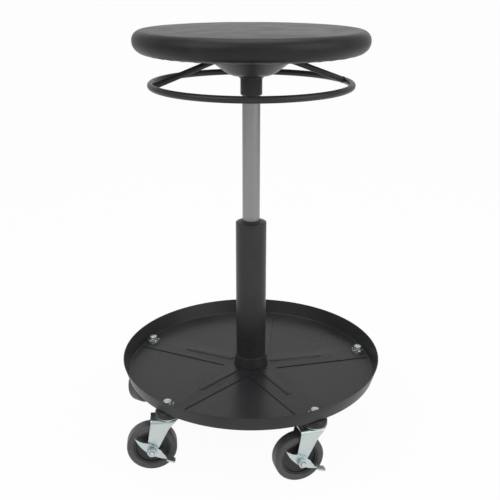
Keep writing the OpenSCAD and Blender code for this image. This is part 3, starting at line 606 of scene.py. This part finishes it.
def make_hub():
    # The bowl's sheet from its neck out to the flange under the board, then back along its other face
    s, neck_r, flange_r, under, smooth_below = SOCKET_Z, 17.0, 89.3, BOARD_Z - 2, 32
    sheet = [(neck_r, s + 27.6, 0), (34.7, s + 31, 38), (77.3, under, 4), (flange_r, under, 0.6)]
    back = [(flange_r, BOARD_Z, 0.6), (76.6, BOARD_Z, 5.5), (33.9, s + 33.1, 36), (neck_r, s + 29.7, 0)]
    bm = bmesh.new()
    lathe(bm, rounded(sheet, 14) + rounded(back, 14), 144)
    bowl = bpy.data.objects.new("hub_bowl_sheet", to_mesh("hub_bowl_sheet", bm, smooth_below))
    scene.collection.objects.link(bowl)

    # The slots of the cross rod, rounded at their corners
    high, low, half, corner, reach = 621.96, 610.47, 5.2, 2.2, 100
    loop = rounded([(0, low, 0), (half, low, corner), (half, high, corner),
                    (-half, high, corner), (-half, low, corner), (0, low, 0)], 6)[:-1]
    bm = bmesh.new()
    turn = spin(radians(CROSS_AZ))
    ends = [[bm.verts.new(turn @ Vector((x, y, z))) for y, z in loop] for x in (-reach, reach)]
    for i in range(len(loop)):
        j = (i + 1) % len(loop)
        bm.faces.new((ends[0][i], ends[0][j], ends[1][j], ends[1][i]))
    bm.faces.new(ends[0][::-1])
    bm.faces.new(ends[1])
    tool = bpy.data.objects.new("slot_tool", to_mesh("slot_tool", bm))
    scene.collection.objects.link(tool)
    cut(bowl, tool)
    bowl.data.shade_smooth()
    bowl.data.set_sharp_from_angle(angle=radians(smooth_below))
    bowl.data.materials.clear()
    bowl.data.materials.append(MATS["black_paint"])
    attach(bowl, "seat")
    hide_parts("hub_bowl")

    bm = bmesh.new()
    top, outer = s + SOCKET_H, 16.9
    lathe(bm, rounded([(13.5, top, 0), (14.05, s, 0.5), (outer, s, 2.2), (outer, top, 0.8),
                       (13.5, top, 0)], 8)[:-1], 96)
    piece("socket_tube", to_mesh("socket_tube", bm, 32), "seat", "black_paint", ("taper_socket",))
    bm = bmesh.new()
    weld_bead(bm, 17.3, s + 27.3, 1.5, 46)
    piece("socket_weld", to_mesh("socket_weld", bm, 60), "seat", "black_paint")

    # Flange screws: pan heads with a hexagon recess
    bm = bmesh.new()
    screw_r, steps = (154.6 + 12 + 1.25) / 2, 36
    recess = [hex_radius(2 * pi * t / steps, 1) for t in range(steps)]
    rows = [[(1.3 * r, 1.2) for r in recess], [(1.35 * r, 2.45) for r in recess]]
    rows += [[point] * steps for point in ((2.6, 2.5), (3.7, 1.9), (4.4, 0.9), (4.5, 0.0))]
    for i in range(6):
        a = radians(CROSS_AZ + 30 + 60 * i)
        place = (Matrix.Translation((screw_r * cos(a), screw_r * sin(a), under))
                 @ Matrix.Rotation(pi, 4, "X") @ spin(i * 0.7))
        rings = [ring_of(bm, row, place) for row in rows]
        bm.faces.new(rings[0])
        for p, q in zip(rings, rings[1:]):
            for t in range(steps):
                bm.faces.new((p[t], p[(t + 1) % steps], q[(t + 1) % steps], q[t]))
        bm.faces.new(rings[-1])
    mesh = to_mesh("flange_screw_heads", bm, 40)
    piece("flange_screw_heads", mesh, "seat", "zinc_plate", ("flange_screws",))


def make_ring():
    bm = bmesh.new()
    tube_along(bm, [(x, y, RING_Z) for x, y in circle(0, 0, RING_R, 200)], ROD_R, 24, closed=True)
    piece("ring_rod", to_mesh("ring_rod", bm, 40), "ring", "ring_paint", ("ring_hoop",))

    # Cross rod: level over the pin, bent down to the ring on each side, welded to it
    turn = spin(radians(CROSS_AZ))
    cross_r, end, weld = 4.6, 3.4, 4.2
    half = rounded([(0, CROSS_Z, 0), (50, CROSS_Z, 16), (RING_R - end, RING_Z + end * CROSS_SLOPE, 0)], 8)
    points = [(-x, z) for x, z in half[::-1]] + half[1:]
    bm = bmesh.new()
    tube_along(bm, [turn @ Vector((x, 0, z)) for x, z in points], cross_r, 24)
    piece("cross_rod_bar", to_mesh("cross_rod_bar", bm, 40), "ring", "ring_paint", ("cross_rod",))
    bm = bmesh.new()
    for side in (0, pi):
        slope = (spin(side) @ Matrix.Translation((RING_R - weld, 0, RING_Z + weld * CROSS_SLOPE))
                 @ Matrix.Rotation(pi / 2 + atan2(CROSS_SLOPE, 1), 4, "Y"))
        weld_bead(bm, 4.7, 0.0, 0.8, 15, turn @ slope, 96)
    piece("ring_welds", to_mesh("ring_welds", bm, 60), "ring", "ring_paint")


# ---------------------------------------------------------------- lift and column

def make_lift():
    tip = SOCKET_Z + TAPER_L
    bm = bmesh.new()
    lathe(bm, rounded([(TUBE_IN, TUBE_Z, 0.4), (TUBE_R, TUBE_Z, 0.8), (TUBE_R, SOCKET_Z, 0),
                       (TUBE_TOP_R, tip, 0.6), (TUBE_IN, tip, 0.4), (TUBE_IN, TUBE_Z + 0.8, 0)], 4), 96)
    piece("lift_tube", to_mesh("lift_tube", bm, 32), "seat", "satin_tube", ("pressure_tube",))

    c, foot, bore, outer = COLUMN_TOP, COLUMN_TOP - BUSH_L, TUBE_R + 0.05, COLUMN_IN - 0.05
    bm = bmesh.new()
    lathe(bm, rounded([(bore, foot, 0), (outer, foot, 0.6), (outer, c, 0), (COLUMN_R - 0.15, c + 0.1, 0.5),
                       (COLUMN_R, c + 3.0, 0.9), (14.9, BUSH_TOP, 0.5), (bore, BUSH_TOP - 0.4, 0)], 5), 96)
    piece("top_bush", to_mesh("top_bush", bm, 32), "base", "black_plastic", ("guide_bush",))

    bm = bmesh.new()
    lathe(bm, rounded([(COLUMN_IN, STAR_Z, 0), (COLUMN_R, STAR_Z, 0), (COLUMN_R, c, 0.7), (COLUMN_IN, c, 0.3),
                       (COLUMN_IN, STAR_Z + 1, 0)], 5), 96)
    piece("column", to_mesh("column", bm, 32), "base", "black_paint", ("column_tube",), paint="column_paint")

    top, bore = STAR_Z + COLLAR_H, COLUMN_R + 0.05
    bm = bmesh.new()
    lathe(bm, rounded([(bore, STAR_Z, 0), (29.2, STAR_Z, 0.8), (26.2, top, 0.9), (bore, top, 0)], 6), 96)
    mesh = to_mesh("column_collar", bm, 32)
    piece("column_collar", mesh, "base", "black_paint", ("foot_collar",), paint="column_paint")


# ---------------------------------------------------------------- tray and star plate

# Where a bead's round ends lie along its arm
BEAD_ENDS = (38.0, 120.0)
# Half its profile: distance from the middle line, height, rounding
BEAD_PROFILE = [(7.0, 0, 0), (6.0, 0, 0.8), (4.0, 1.2, 0.8), (3.2, 1.2, 0)]


def arm_point(k, x, y):
    """A point given along and across star arm k."""
    a = radians(STEM_AZ + 72 * k)
    return x * cos(a) - y * sin(a), x * sin(a) + y * cos(a)


def bead_height(x, y, section):
    """Height over the star plate at a point."""
    near, tiny = 1e9, 1e-4
    for k in range(5):
        a = radians(-STEM_AZ - 72 * k)
        along, across = x * cos(a) - y * sin(a), x * sin(a) + y * cos(a)
        near = min(near, hypot(along - min(max(along, BEAD_ENDS[0]), BEAD_ENDS[1]), across))
    if near >= section[0][0] - tiny:
        return 0.0
    for (d0, z0), (d1, z1) in zip(section, section[1:]):
        if near >= d1 - tiny:
            return z1 + (z0 - z1) * (near - d1) / (d0 - d1)
    return section[-1][1]


def star_outline():
    """The star plate's outline: arms that narrow outwards, cut off by a circle of STAR_R."""
    out = []
    meet = STAR_HALF / (tan(pi / 5) + STAR_TAPER)
    far = STAR_R
    for _ in range(20):
        far = sqrt(STAR_R ** 2 - (STAR_HALF - STAR_TAPER * far) ** 2)
    turn = atan2(STAR_HALF - STAR_TAPER * far, far)
    sweep = [turn * (t / 8 - 1) for t in range(17)]
    for k in range(5):
        out.append(arm_point(k, meet, -meet * tan(pi / 5)))
        out += [arm_point(k, STAR_R * cos(b), STAR_R * sin(b)) for b in sweep]
    return out


def make_tray():
    middle_r, stem_hole_r, floor_r, lip_r = 13, 6.6, 208.76, 216.24
    bm = bmesh.new()
    lathe(bm, rounded([(middle_r, FLOOR_Z, 0), (floor_r, FLOOR_Z, 2.2), (lip_r, RIM_Z, 0.6),
                       (TRAY_R, RIM_Z, 0.6), (TRAY_BASE_R, TRAY_Z, 4.5), (middle_r, TRAY_Z, 0)], 9), 240)
    piece("tool_tray", to_mesh("tool_tray", bm, 40), "base", "black_paint", ("tray",))

    # The sheet's edges run along each line of the beads' profile
    section = rounded(BEAD_PROFILE, 4)
    half_turn = [pi * t / 16 for t in range(17)]
    lines = []
    for k in range(5):
        for d, _ in section:
            ring = []
            for x, start in ((BEAD_ENDS[1], -pi / 2), (BEAD_ENDS[0], pi / 2)):
                ring += [arm_point(k, x + d * cos(start + a), d * sin(start + a)) for a in half_turn]
            lines += list(zip(ring, ring[1:] + ring[:1]))

    def stamp(x, y, depth):
        """The plate's top face takes the beads, and its lower face stays flat."""
        return Vector((x, y, STAR_Z - depth if depth else STAR_Z + bead_height(x, y, section)))

    holes = [circle(0, 0, middle_r, 48)]
    holes += [circle(*arm_point(k, STEM_R, 0), stem_hole_r, 32) for k in range(5)]
    bm = bmesh.new()
    folded_sheet(bm, [star_outline()] + holes, lines, stamp, STAR_T)
    piece("star", to_mesh("star", bm, 50, flat_join=True), "base", "black_paint", ("star_plate",), 0.6)


# ---------------------------------------------------------------- casters

def thread(z_low, z_high, radius, pitch, depth):
    """Outline points of a threaded rod, as rings, going up."""
    out, z = [], z_low
    while z + pitch <= z_high + 1e-6:
        out += [(radius, z), (radius, z + pitch * 0.25)]
        out += [(radius - depth, z + pitch * share) for share in (0.6, 0.7)]
        z += pitch
    return out


def fork_mesh():
    # The blank has u along the trail and v across it; its legs fold down at the crown's sides
    flat, arc = FORK_W / 2 - FORK_BEND, FORK_BEND * pi / 2
    top_v, top_z = flat + arc, CROWN_Z - FORK_BEND
    end_r, back_x, front_x, nose_x, nose_r = 8, 27, -5.5, 2, 20
    dome_r, dome_in, bore, skirt = 14.5, 12, 6.45, CROWN_Z - 2.2

    def fold(u, v, depth):
        side, s = (1 if v >= 0 else -1), abs(v) - flat
        r = FORK_BEND - depth
        if s <= 0:
            return Vector((u, v, CROWN_Z - depth))
        if s < arc:
            t = s / FORK_BEND
            return Vector((u, side * (flat + r * sin(t)), top_z + r * cos(t)))
        return Vector((u, side * (flat + r), top_z - (s - arc)))

    def touch(px, pz, hand):
        """The angle at which a line from a point touches the leg's round end."""
        dx, dz = px - TRAIL, pz - AXLE_Z
        return atan2(dz, dx) + hand * acos(end_r / hypot(dx, dz))

    def crown_front(v):
        y = abs(fold(0, v, 0).y)
        return nose_x - sqrt(max(0, nose_r ** 2 - y * y))

    a_back, a_front = touch(back_x, top_z, -1), touch(front_x, top_z, 1)
    sweep, steps = (a_front - 2 * pi) - a_back, 24
    leg = []
    for t in range(steps + 1):
        b = a_back + sweep * t / steps
        leg.append((TRAIL + end_r * cos(b), top_v + top_z - (AXLE_Z + end_r * sin(b)), 0))
    # The leg's front edge runs out into the crown's rounded front in an easy curve
    near, nose_v = 9.0, top_v - 5
    x_near = front_x + (leg[-1][0] - front_x) * near / (leg[-1][1] - top_v)
    side = [(back_x, 0, 0), (back_x, top_v - 1, 0)] + leg
    side += [(x_near, top_v + near, 3), (crown_front(top_v - 3) + 0.6, top_v - 2, 5),
             (crown_front(nose_v), nose_v, 0)]
    half = rounded(side, 6)
    half += [(crown_front(v), v) for v in (nose_v * (1 - t / 12) for t in range(1, 13))]
    outline = half[:-1] + [(u, -v) for u, v in half[::-1]][:-1]
    outline = [p for p, q in zip(outline, outline[-1:] + outline[:-1]) if dist(p, q) > 1e-4]
    hole_v = top_v + top_z - AXLE_Z
    loops = [outline] + [circle(TRAIL, s * hole_v, AXLE_HOLE_R, 32) for s in (1, -1)]
    loops.append(circle(0, 0, dome_in, 48))
    lines = []
    for t in range(9):
        v = flat + arc * t / 8
        lines += [((-40, v), (40, v)), ((-40, -v), (40, -v))]
    bm = bmesh.new()
    folded_sheet(bm, loops, lines, fold, FORK_SHEET)
    lathe(bm, rounded([(bore, DOME_Z, 0), (dome_r, DOME_Z, 2.6), (dome_r, skirt, 0), (dome_in, skirt, 0),
                       (dome_in, DOME_Z - FORK_SHEET, 1.4), (bore, DOME_Z - FORK_SHEET, 0)], 6), 64)
    return to_mesh("caster_fork", bm, 32, flat_join=True)


def axle_mesh():
    half, across, head_h, nut_h, sleeve = FORK_W / 2, 13, 5, 6.5, 13.5
    nut_y = half + LEVER_PLAY + LEVER_SHEET + LEVER_PLAY
    end = nut_y + nut_h + 1.0
    body = [(0, -half - 0.2), (AXLE_R, -half - 0.2), (AXLE_R, nut_y + 5)]
    body += thread(nut_y + 5, end - 0.6, AXLE_R, 1.25, 0.35) + [(3.4, end), (0, end)]
    bm = bmesh.new()
    lathe(bm, body, 40, AXLE, closed=False)
    nut(bm, across, head_h, 0, AXLE @ Matrix.Translation((0, 0, -half - head_h)))
    nut(bm, across, nut_h, 8.1, AXLE @ Matrix.Translation((0, 0, nut_y)))
    lathe(bm, [(4.05, -sleeve), (5.5, -sleeve), (5.5, sleeve), (4.05, sleeve)], 40, AXLE)
    return to_mesh("caster_axle", bm, 32)


def hub_mesh():
    bm = bmesh.new()
    boss, web, rim, rim_r = 13.2, 6, 10, 28.45
    half = rounded([(5.6, boss, 0), (10, boss, 1.0), (10, web, 1.8), (25.1, web, 1.8), (25.5, rim, 0.9),
                    (rim_r, rim, 0.6), (rim_r, 0, 0)], 5)
    lathe(bm, half + [(r, -z) for r, z in half[::-1]][1:], 72, AXLE)
    return to_mesh("caster_hub", bm, 32)


def tyre_mesh():
    bm = bmesh.new()
    w = WHEEL_W / 2
    half = rounded([(28.5, w - 1.6, 0), (30.2, w, 0.9), (33.5, w, 0), (WHEEL_R - 0.25, w, 4.6),
                    (WHEEL_R - 0.02, 4.5, 0), (WHEEL_R, 0.4, 0)], 10)
    lathe(bm, half + [(r, -z) for r, z in half[::-1]], 96, AXLE)
    return to_mesh("caster_tyre", bm, 40)


def lever_mesh():
    # The blank lies flat on the fork's side; its pedal folds outwards on a line at an angle to the lever
    sheet, gap, turn, lean = LEVER_SHEET, 1.5, radians(17), radians(37.1)
    y0 = FORK_W / 2 + LEVER_PLAY
    y1 = y0 + sheet
    bend = (gap + sheet / 2) * pi / 2
    fold_up = -(gap + sheet)
    near = Vector((-23.0, 6.0))
    along, up = Vector((-cos(turn), sin(turn))), Vector((sin(turn), cos(turn)))
    slit = 0.9

    def at(a, b):
        """A point of the blank from its place along and across the pedal's fold."""
        return near + a * along + b * up

    def fold(x, z, depth):
        offset = Vector((x, z)) - near
        a, b = offset.dot(along), offset.dot(up)
        if b <= fold_up or a < slit - 0.01:
            return Vector((x, y0 + depth, z))
        radius = gap + sheet - depth
        s = b - fold_up
        if s < bend:
            t = s / bend * pi / 2
            q = at(a, fold_up + radius * sin(t))
            return Vector((q.x, y1 + gap - radius * cos(t), q.y))
        q = at(a, fold_up + radius)
        return Vector((q.x, y1 + gap + s - bend, q.y))

    # Lower edge: an arc that sags below its chord
    chord, sag, mid, rise, steps = 68.6, 10.8, 1.5, 4.2, 40
    radius = (chord * chord / 4 + sag * sag) / (2 * sag)
    lower = []
    for t in range(steps + 1):
        x = mid + chord / 2 - t * chord / steps
        lower.append((x, rise - sag + radius - sqrt(radius * radius - (x - mid) ** 2)))
    far = 15.0
    tab_top = fold_up + bend + 10.5
    tab = [(*lower[-1], 0), (*at(far, fold_up - 0.3), 1.5), (*at(far, tab_top), 3.0),
           (*at(slit, tab_top), 3.0), (*at(slit, fold_up + 0.4), 0)]
    tab = rounded(tab, 5)[1:]
    # Upper edge: from the slit over the round eye of the axle and down to the nose
    eye = 10
    neck = [tuple(at(0.1, fold_up + 0.6)), (-22.6, 4.2), (-20.5, 4.9), (-18, 5.6), (-15.5, 6.4),
            (-13, 7.4), (-10.8, 8.5)]
    neck += [(eye * cos(a), eye * sin(a)) for a in [radians(124 - t * 68 / 12) for t in range(13)]]
    neck += [(8.0, 8.9), (10.5, 8.2), (13, 7.3), (15.5, 6.2), (18, 5.1), (21, 4.1), (24.5, 3.5),
             (29, 3.2), (34.9, 3.1)]
    outline = lower + tab + neck
    hole = circle(0, 0, AXLE_HOLE_R, 32)
    heights = [fold_up + bend * t / 6 for t in range(7)]
    lines = [(tuple(at(slit - 0.5, b)), tuple(at(far + 3, b))) for b in heights]
    bm = bmesh.new()
    folded_sheet(bm, [outline, hole], lines, fold, sheet)
    place = Matrix.Translation((TRAIL, 0, AXLE_Z)) @ Matrix.Rotation(-lean, 4, "Y")
    bmesh.ops.transform(bm, matrix=place, verts=bm.verts)
    return to_mesh("caster_lever", bm, 32, flat_join=True)


def make_casters():
    fork, axle, hub, tyre, lever = fork_mesh(), axle_mesh(), hub_mesh(), tyre_mesh(), lever_mesh()
    for k in range(1, 6):
        at = stem_place(k)
        piece(f"caster_fork_{k}", fork, f"caster_{k}", "zinc_plate", (f"fork_{k}",), 0.35, at)
        piece(f"caster_axle_{k}", axle, f"caster_{k}", "zinc_plate", (f"axle_set_{k}",), 0, at)
        piece(f"caster_hub_{k}", hub, f"wheel_{k}", "wheel_plastic", (f"wheel_hub_{k}",), 0, at)
        piece(f"caster_tyre_{k}", tyre, f"wheel_{k}", "grey_tyre", (f"tyre_{k}",), 0, at)
        piece(f"caster_lever_{k}", lever, f"brake_{k}", "zinc_plate", (f"brake_lever_{k}",), 0.35, at)

    # What stays with the tray: stems, washers, lock nuts with their soft rings, and the upper race cups
    stem_r, swell_r, washer_in, washer_r, bore, cup_in, cup_r = 6.35, 8, 6.7, 9.6, 6.4, 17.5, 19.5
    head, top = DOME_Z - 2.8, STEM_TOP
    stem = [(0, head - 2.7), (9.4, head - 2.7), (10, head - 2.1), (10, head - 0.6), (9.4, head),
            (stem_r, head), (stem_r, DOME_Z + 0.4), (swell_r, DOME_Z + 0.4), (swell_r, TRAY_Z - 2.1),
            (stem_r, TRAY_Z - 2.1), (stem_r, STAR_Z + 0.2)]
    stem += thread(STAR_Z + 0.3, top - 1.6, stem_r, 1.9, 0.55)
    stem += [(stem_r, top - 1.6), (6.3, top - 0.9), (5.6, top - 0.2), (5.2, top), (0, top)]
    seat, under = STAR_Z + WASHER_T, STAR_Z + 0.02
    washer = rounded([(washer_in, under, 0), (washer_r, under, 0), (washer_r, seat, 0.4),
                      (washer_in, seat, 0)], 3)
    collar = seat + NUT_H
    insert = rounded([(bore, collar - 1.5, 0), (bore, collar - 0.2, 0), (6.7, collar, 0.2),
                      (8.6, collar, 0.9), (8.8, collar - 1.5, 0)], 4)
    roof, foot, lip_r = TRAY_Z - 0.02, CUP_FOOT_Z + 1, cup_r + 0.05
    cup = rounded([(bore, roof, 0), (15.6, roof, 3), (cup_r, TRAY_Z - 3.9, 3), (cup_r, foot, 0),
                   (cup_in, foot, 0), (cup_in, TRAY_Z - 4.6, 2), (14.8, TRAY_Z - 2, 1.5),
                   (bore, TRAY_Z - 2, 0)], 6)
    lip = rounded([(cup_in, foot, 0), (cup_in, CUP_FOOT_Z, 0.3), (lip_r, CUP_FOOT_Z, 0.4),
                   (lip_r, foot, 0)], 4)
    stems, washers, nuts, inserts, cups, lips = (bmesh.new() for _ in range(6))
    for k in range(1, 6):
        at = stem_place(k, metres=False)
        lathe(stems, stem, 48, at, closed=False)
        lathe(washers, washer, 48, at)
        nut(nuts, 19, NUT_H - 1.3, 12.8, at @ Matrix.Translation((0, 0, seat)) @ spin(0.35 * k))
        lathe(inserts, insert, 48, at)
        lathe(cups, cup, 64, at)
        lathe(lips, lip, 64, at)
    piece("stem_bolts", to_mesh("stem_bolts", stems, 32), "base", "zinc_plate", ("caster_stems",))
    piece("washer_rings", to_mesh("washer_rings", washers, 32), "base", "zinc_plate", ("stem_washers",))
    piece("hex_nuts", to_mesh("hex_nuts", nuts, 25), "base", "zinc_plate", ("stem_nuts",))
    piece("nut_inserts", to_mesh("nut_inserts", inserts, 32), "base", "black_plastic")
    piece("cup_shells", to_mesh("cup_shells", cups, 32), "base", "black_paint", ("race_cups",))
    piece("cup_lips", to_mesh("cup_lips", lips, 32), "base", "zinc_plate")


make_seat()
make_hub()
make_ring()
make_lift()
make_tray()
make_casters()


# ---------------------------------------------------------------- floor and light

def make_stage():
    # A white sheet in metres, flat under the stool and curved up behind it
    size, back, curve, height = 6.0, 3.2, 0.8, 5.0
    rows = [(-size, 0.0), (back - curve, 0.0)]
    turns = [t * pi / 24 for t in range(1, 13)]
    rows += [(back - curve + curve * sin(a), curve - curve * cos(a)) for a in turns]
    rows += [(back, height)]
    bm = bmesh.new()
    grid = [[bm.verts.new((x, y, z)) for x in (-size, size)] for y, z in rows]
    for a, b in zip(grid, grid[1:]):
        bm.faces.new((a[0], a[1], b[1], b[0]))
    mesh = bpy.data.meshes.new("floor")
    bm.to_mesh(mesh)
    bm.free()
    mesh.shade_smooth()
    floor = bpy.data.objects.new("floor", mesh)
    scene.collection.objects.link(floor)
    mat, tree, bsdf = new_material("floor")
    bsdf.inputs["Base Color"].default_value = (0.82, 0.82, 0.82, 1)
    bsdf.inputs["Roughness"].default_value = 0.9
    # The camera sees plain white; reflections see a white field behind the stool that darkens to the sides
    path = add(tree, "ShaderNodeLightPath")
    place = add(tree, "ShaderNodeSeparateXYZ")
    tree.links.new(add(tree, "ShaderNodeNewGeometry").outputs["Position"], place.inputs["Vector"])
    sideways = maths(tree, "ABSOLUTE", place.outputs["X"], 0)
    field = maths(tree, "MULTIPLY", remap(tree, sideways, 0.8, 0.15, 0.8, 2.6),
                  remap(tree, place.outputs["Z"], 1, 0.2, 1.7, 2.6))
    direct = maths(tree, "MAXIMUM", path.outputs["Is Camera Ray"], path.outputs["Is Transmission Ray"])
    seen = maths(tree, "MAXIMUM", direct, maths(tree, "MULTIPLY", path.outputs["Is Glossy Ray"], field))
    glow = add(tree, "ShaderNodeEmission", Strength=1.0)
    mix = add(tree, "ShaderNodeMixShader")
    tree.links.new(maths(tree, "MULTIPLY", seen, 0.96), mix.inputs["Fac"])
    tree.links.new(bsdf.outputs["BSDF"], mix.inputs[1])
    tree.links.new(glow.outputs["Emission"], mix.inputs[2])
    tree.links.new(mix.outputs["Shader"], tree.nodes["Material Output"].inputs["Surface"])
    mesh.materials.append(mat)


def lamp(name, at, target, size, power):
    """A rectangular area light that looks at a target: lengths in metres, power in watts."""
    data = bpy.data.lights.new(name, "AREA")
    data.shape = "RECTANGLE"
    data.size, data.size_y = size
    data.energy = power
    obj = bpy.data.objects.new(name, data)
    scene.collection.objects.link(obj)
    direction = Vector(target) - Vector(at)
    obj.matrix_world = Matrix.Translation(at) @ direction.to_track_quat("-Z", "Y").to_matrix().to_4x4()


def make_lights():
    world = bpy.data.worlds.new("world")
    world.use_nodes = True
    scene.world = world
    tree = world.node_tree
    background = tree.nodes["Background"]
    background.inputs["Color"].default_value = (1, 1, 1, 1)
    # Full white for the camera, half as strong for everything else
    seen = add(tree, "ShaderNodeLightPath").outputs["Is Camera Ray"]
    strength = maths(tree, "ADD", maths(tree, "MULTIPLY", seen, 0.5), 0.5)
    tree.links.new(strength, background.inputs["Strength"])
    lamp("key", (-1.6, -1.4, 2.2), (0, 0, 0.35), (2.2, 2.2), 22)
    lamp("fill", (1.9, -1.2, 1.5), (0, 0, 0.3), (2.0, 2.2), 20)
    lamp("top", (0, 0.3, 2.6), (0, 0, 0.3), (1.6, 1.6), 16)


make_stage()
make_lights()
